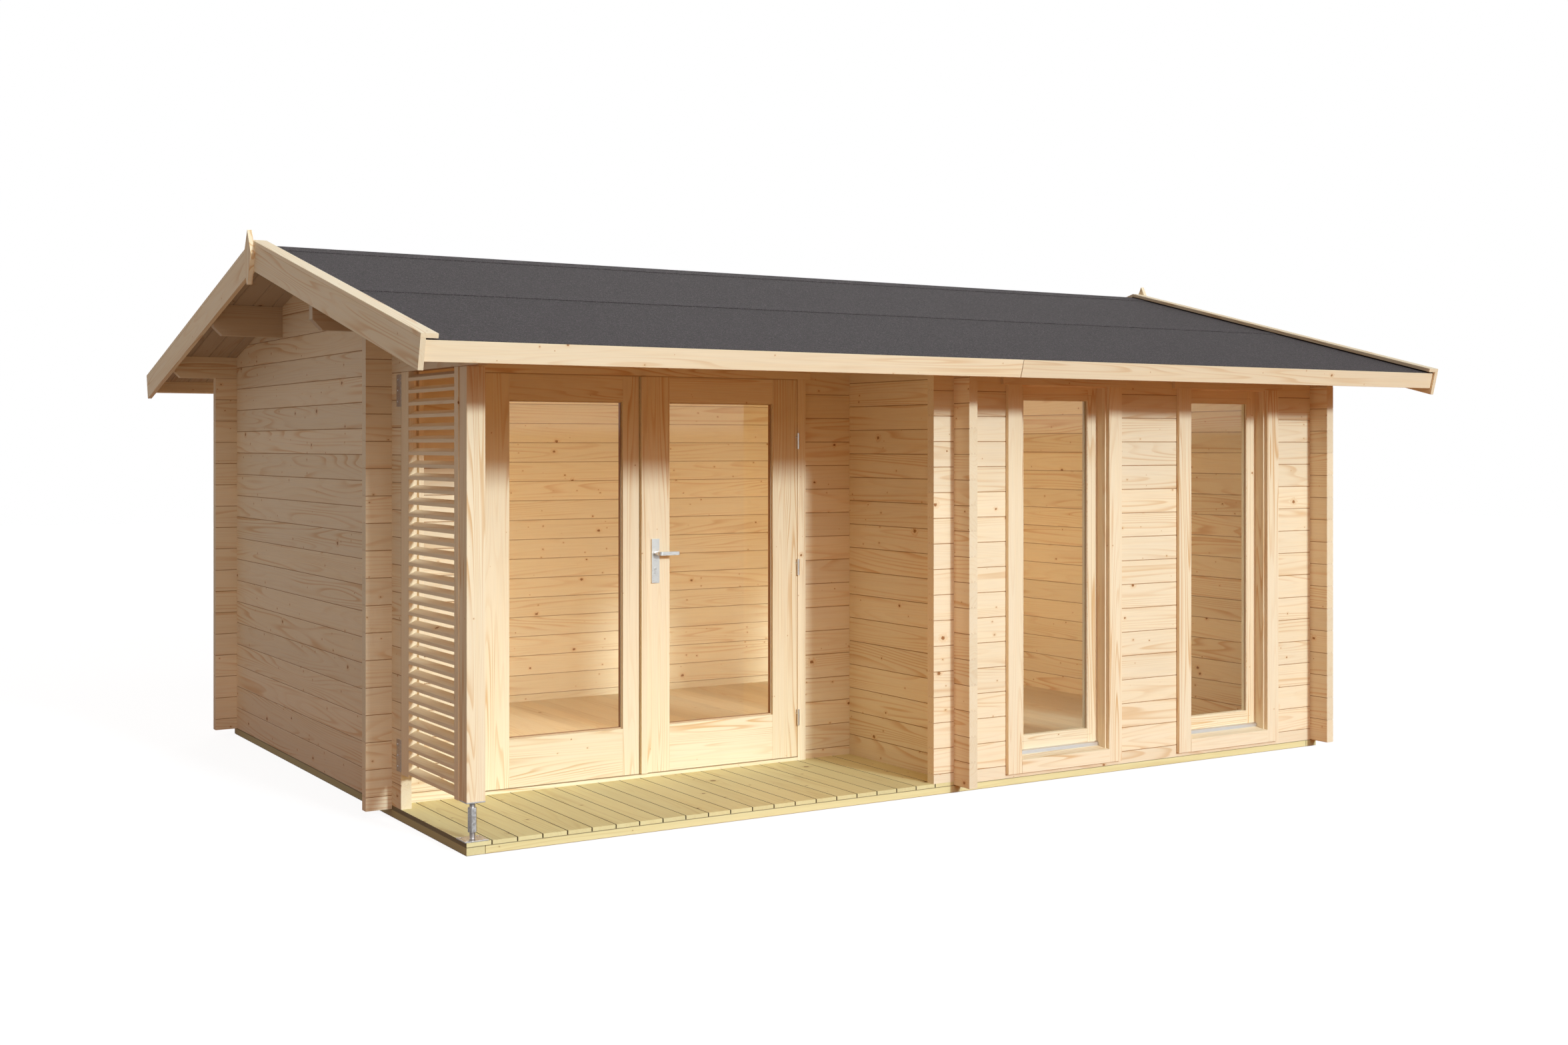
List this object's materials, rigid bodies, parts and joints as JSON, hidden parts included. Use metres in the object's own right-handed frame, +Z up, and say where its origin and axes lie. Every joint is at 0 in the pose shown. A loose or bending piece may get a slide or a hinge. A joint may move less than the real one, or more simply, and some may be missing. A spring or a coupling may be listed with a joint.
{
  "type": "log summerhouse",
  "caption": "Log summerhouse with interlocking corners, a recessed corner porch with a slatted screen, a glazed double door that opens outwards and a low felted saddle roof.",
  "frame": {"origin": "middle of the footprint of the whole part, at ground level under the bearers", "axes": "+Z up, +X along the house from the porch gable to the other gable, +Y from the front with the windows to the back"},
  "size_m": [5.706, 4.5222, 2.6544],
  "materials": {
    "log_wood": "planed, untreated spruce",
    "roof_wood": "planed boards",
    "trim_wood": "planed, untreated spruce",
    "treated_wood": "pressure treated",
    "roofing_felt": "mineral granules",
    "clear_glass": "clear",
    "steel": "zinc plated",
    "drip_metal": "anodised"
  },
  "bodies": {
    "house": {"left_gable_wall": "log_wood", "left_gable_top": "log_wood", "right_gable_wall": "log_wood", "back_wall": "log_wood", "return_wall": "log_wood", "door_wall_piers": "log_wood", "door_lintel": "log_wood", "front_bottom_log": "log_wood", "front_wall_piers": "log_wood", "front_lintel": "log_wood", "eaves_logs": "log_wood", "purlins": "log_wood", "floor": "log_wood", "roof_boards": "roof_wood", "fascias": "trim_wood", "bargeboards": "trim_wood", "barge_caps": "trim_wood", "gable_finials": "trim_wood", "corner_post": "trim_wood", "louvre_screen": "trim_wood", "side_casings": "trim_wood", "head_casings": "trim_wood", "door_jambs": "trim_wood", "door_head": "trim_wood", "door_sill": "trim_wood", "window_jambs": "trim_wood", "window_heads": "trim_wood", "window_bottoms": "trim_wood", "window_sills": "trim_wood", "sash_stiles": "trim_wood", "sash_rails": "trim_wood", "foundation_bearers": "treated_wood", "porch_deck": "treated_wood", "roof_felt": "roofing_felt", "window_glass": "clear_glass", "post_foot": "steel", "screen_straps": "steel", "frame_hinges": "steel", "window_drips": "drip_metal"},
    "left_door": {"left_leaf_stiles": "trim_wood", "left_leaf_rails": "trim_wood", "left_leaf_glass": "clear_glass", "left_leaf_hinges": "steel"},
    "right_door": {"right_leaf_stiles": "trim_wood", "right_leaf_rails": "trim_wood", "right_leaf_glass": "clear_glass", "right_leaf_hinges": "steel", "cover_strip": "trim_wood", "handle_plates": "steel"},
    "handle": {"door_handle": "steel"}
  },
  "joints": [
    {"name": "left_door_swing", "type": "hinge", "parent": "house", "child": "left_door", "pos_m": [-2.0545, -0.908, 1.034], "axis": [0, 0, -1], "range_deg": [0, 100]},
    {"name": "right_door_swing", "type": "hinge", "parent": "house", "child": "right_door", "pos_m": [-0.3535, -0.908, 1.034], "axis": [0, 0, 1], "range_deg": [0, 100]},
    {"name": "handle_turn", "type": "hinge", "parent": "right_door", "child": "handle", "pos_m": [-1.1605, -0.88, 1.12], "axis": [0, 1, 0], "range_deg": [0, 40], "stiffness_Nm_per_rad": 1.5, "springref_deg": -34.38}
  ]
}
